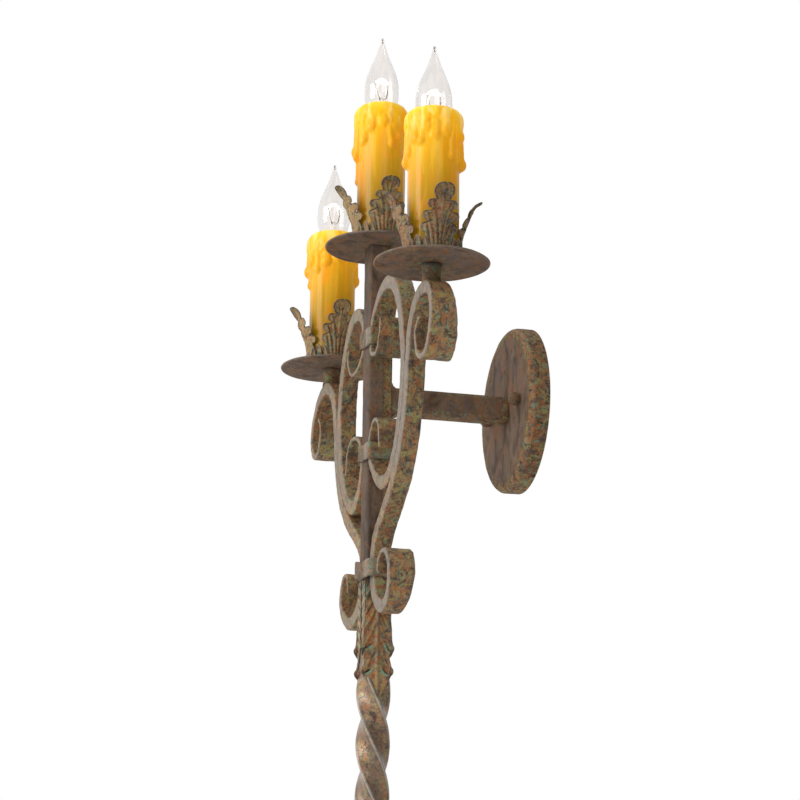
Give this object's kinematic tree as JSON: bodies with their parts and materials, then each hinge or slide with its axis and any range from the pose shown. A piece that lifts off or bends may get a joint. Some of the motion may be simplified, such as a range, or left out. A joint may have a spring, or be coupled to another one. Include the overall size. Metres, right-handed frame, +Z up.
{
  "type": "torch sconce",
  "caption": "Forged iron torch-shaped wall sconce with scrollwork, leaf cups and drip-covered candle lights on round pans, held off the wall by an arm and canopy.",
  "frame": {"origin": "centre of the canopy's back plane, on the wall face", "axes": "+Y runs into the wall and the room is on -Y; +Z is up; +X is to the right of someone facing the wall; the bar stands at Y = -0.1396"},
  "size_m": [0.449, 0.1896, 0.9134],
  "materials": {
    "iron": "brown forged iron with a waxed patina, olive and verdigris stains",
    "iron_light": "forged iron rubbed lighter, rust-brown patina",
    "wax": "translucent amber resin made to look like dripping wax",
    "glass": "clear lamp glass",
    "brass": "nickel-plated or raw brass lamp base and socket shell",
    "filament": "glass stem with wire filament",
    "socket": "black phenolic",
    "steel": "zinc-plated steel",
    "wire": "black sleeve over two insulated wires",
    "green": "green-dyed screw"
  },
  "bodies": {
    "sconce": {"mounting_plate": "steel", "ground_screw": "green", "canopy_studs": "steel", "canopy_cap_nuts": "iron_light", "canopy": "iron", "arm_end_plug": "iron", "arm_nipple": "steel", "arm_lock_washer": "steel", "arm_lock_nut": "steel", "arm_tube": "iron", "terminal_block": "socket", "bar_tube": "iron", "bar_top_plug": "iron", "twisted_shaft": "iron_light", "left_outer_scroll": "iron_light", "left_inner_scroll": "iron_light", "left_post": "iron", "left_shaft_leaf": "iron_light", "left_lead": "wire", "right_outer_scroll": "iron_light", "right_inner_scroll": "iron_light", "right_post": "iron", "right_shaft_leaf": "iron_light", "right_lead": "wire", "upper_collar": "iron", "middle_collar": "iron", "lower_collar": "iron", "center_lead": "wire", "cup_nuts": "steel", "left_pan": "iron", "left_leaf_cup": "iron_light", "left_stem": "steel", "left_socket": "socket", "left_socket_shell": "brass", "left_socket_contact": "brass", "center_pan": "iron", "center_leaf_cup": "iron_light", "center_stem": "steel", "center_socket": "socket", "center_socket_shell": "brass", "center_socket_contact": "brass", "right_pan": "iron", "right_leaf_cup": "iron_light", "right_stem": "steel", "right_socket": "socket", "right_socket_shell": "brass", "right_socket_contact": "brass"},
    "left_bulb": {"left_bulb_glass": "glass", "left_bulb_base": "brass", "left_bulb_filament": "filament"},
    "left_sleeve": {"left_candle_sleeve": "wax"},
    "center_bulb": {"center_bulb_glass": "glass", "center_bulb_base": "brass", "center_bulb_filament": "filament"},
    "center_sleeve": {"center_candle_sleeve": "wax"},
    "right_bulb": {"right_bulb_glass": "glass", "right_bulb_base": "brass", "right_bulb_filament": "filament"},
    "right_sleeve": {"right_candle_sleeve": "wax"}
  },
  "joints": [
    {"name": "left_bulb_out", "type": "slide", "parent": "sconce", "child": "left_bulb", "axis": [0, 0, 1], "range_m": [0, 0.11]},
    {"name": "left_sleeve_off", "type": "slide", "parent": "sconce", "child": "left_sleeve", "axis": [0, 0, 1], "range_m": [0, 0.215]},
    {"name": "center_bulb_out", "type": "slide", "parent": "sconce", "child": "center_bulb", "axis": [0, 0, 1], "range_m": [0, 0.11]},
    {"name": "center_sleeve_off", "type": "slide", "parent": "sconce", "child": "center_sleeve", "axis": [0, 0, 1], "range_m": [0, 0.215]},
    {"name": "right_bulb_out", "type": "slide", "parent": "sconce", "child": "right_bulb", "axis": [0, 0, 1], "range_m": [0, 0.11]},
    {"name": "right_sleeve_off", "type": "slide", "parent": "sconce", "child": "right_sleeve", "axis": [0, 0, 1], "range_m": [0, 0.215]}
  ]
}
